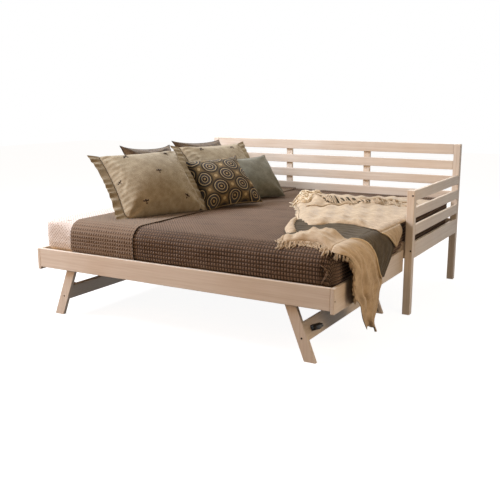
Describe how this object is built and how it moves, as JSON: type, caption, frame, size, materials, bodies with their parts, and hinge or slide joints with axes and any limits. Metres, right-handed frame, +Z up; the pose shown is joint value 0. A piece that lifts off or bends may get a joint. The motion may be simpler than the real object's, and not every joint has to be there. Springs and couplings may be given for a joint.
{
  "type": "trundle daybed",
  "caption": "Slatted wooden daybed with a pop-up trundle raised in front on folding leg frames, both mattresses made up as one wide bed with pillows and a throw.",
  "frame": {"origin": "on the floor under the middle of the whole bed with the trundle raised", "axes": "+X along the mattresses towards the foot, +Y from the trundle to the daybed's back, +Z up"},
  "size_m": [2.044, 2.1162, 0.974],
  "materials": {
    "painted_wood": "satin cream paint",
    "deck_wood": "bare planed pine",
    "mattress_ticking": "quilted knit",
    "coverlet_cloth": "matelasse weave",
    "pillow_brown": "matt weave",
    "pillow_beige": "satin weave",
    "pillow_pattern": "printed weave",
    "pillow_grey": "matt weave",
    "throw_cloth": "soft double weave",
    "caster_plastic": "moulded",
    "zinc_bolt": "zinc plated"
  },
  "bodies": {
    "daybed": {"front_post_left": "painted_wood", "front_post_right": "painted_wood", "back_post_left": "painted_wood", "back_post_right": "painted_wood", "back_slat_1": "painted_wood", "back_slat_2": "painted_wood", "back_slat_3": "painted_wood", "back_slat_4": "painted_wood", "back_rail": "painted_wood", "back_stile_left": "painted_wood", "back_stile_right": "painted_wood", "arm_rail_left_1": "painted_wood", "arm_rail_left_2": "painted_wood", "arm_rail_left_3": "painted_wood", "arm_rail_right_1": "painted_wood", "arm_rail_right_2": "painted_wood", "arm_rail_right_3": "painted_wood", "side_rail_left": "painted_wood", "side_rail_right": "painted_wood", "front_rail": "painted_wood", "daybed_slat_deck": "deck_wood", "daybed_mattress": "mattress_ticking", "daybed_coverlet": "coverlet_cloth", "pillow_dark_daybed": "pillow_brown", "pillow_sham_daybed": "pillow_beige", "pillow_patterned": "pillow_pattern", "pillow_grey_green": "pillow_grey", "throw_daybed": "throw_cloth"},
    "trundle": {"trundle_front_board": "painted_wood", "trundle_back_board": "painted_wood", "trundle_side_board_left": "painted_wood", "trundle_side_board_right": "painted_wood", "trundle_slat_deck": "deck_wood", "trundle_mattress": "mattress_ticking", "trundle_coverlet": "coverlet_cloth", "leg_stop_left": "deck_wood", "leg_stop_right": "deck_wood", "left_pivot_bolt_front": "zinc_bolt", "left_pivot_bolt_back": "zinc_bolt", "right_pivot_bolt_front": "zinc_bolt", "right_pivot_bolt_back": "zinc_bolt", "pillow_dark_trundle": "pillow_brown", "pillow_sham_trundle": "pillow_beige", "throw_trundle": "throw_cloth", "throw_fall": "throw_cloth"},
    "left_leg_frame": {"left_leg_front": "painted_wood", "left_leg_back": "painted_wood", "left_stretcher": "painted_wood", "left_caster_front_fork": "caster_plastic", "left_caster_back_fork": "caster_plastic"},
    "right_leg_frame": {"right_leg_front": "painted_wood", "right_leg_back": "painted_wood", "right_stretcher": "painted_wood", "right_caster_front_fork": "caster_plastic", "right_caster_back_fork": "caster_plastic"},
    "left_front_wheel": {"left_caster_front_wheel": "caster_plastic"},
    "left_back_wheel": {"left_caster_back_wheel": "caster_plastic"},
    "right_front_wheel": {"right_caster_front_wheel": "caster_plastic"},
    "right_back_wheel": {"right_caster_back_wheel": "caster_plastic"}
  },
  "joints": [
    {"name": "trundle_drop", "type": "slide", "parent": "daybed", "child": "trundle", "axis": [0, 0, -1], "range_m": [0, 0.2405], "deforming": ["throw_fall"]},
    {"name": "left_leg_fold", "type": "hinge", "parent": "trundle", "child": "left_leg_frame", "pos_m": [-0.717, -0.5398, 0.312], "axis": [0, -1, 0], "range_deg": [0, 111.5]},
    {"name": "right_leg_fold", "type": "hinge", "parent": "trundle", "child": "right_leg_frame", "pos_m": [0.717, -0.5398, 0.312], "axis": [0, 1, 0], "range_deg": [0, 111.5]},
    {"name": "left_front_wheel_spin", "type": "hinge", "parent": "left_leg_frame", "child": "left_front_wheel", "pos_m": [-0.82883, -0.9148, 0.15442], "axis": [-0.3665, 0, -0.9304], "continuous": true},
    {"name": "left_back_wheel_spin", "type": "hinge", "parent": "left_leg_frame", "child": "left_back_wheel", "pos_m": [-0.82883, -0.1648, 0.15442], "axis": [-0.3665, 0, -0.9304], "continuous": true},
    {"name": "right_front_wheel_spin", "type": "hinge", "parent": "right_leg_frame", "child": "right_front_wheel", "pos_m": [0.82883, -0.9148, 0.15442], "axis": [0.3665, 0, -0.9304], "continuous": true},
    {"name": "right_back_wheel_spin", "type": "hinge", "parent": "right_leg_frame", "child": "right_back_wheel", "pos_m": [0.82883, -0.1648, 0.15442], "axis": [0.3665, 0, -0.9304], "continuous": true}
  ],
  "couplings": [
    {"joint": "left_leg_fold", "follows": "trundle_drop", "rad_per_m": 8.09},
    {"joint": "right_leg_fold", "follows": "trundle_drop", "rad_per_m": 8.09}
  ]
}
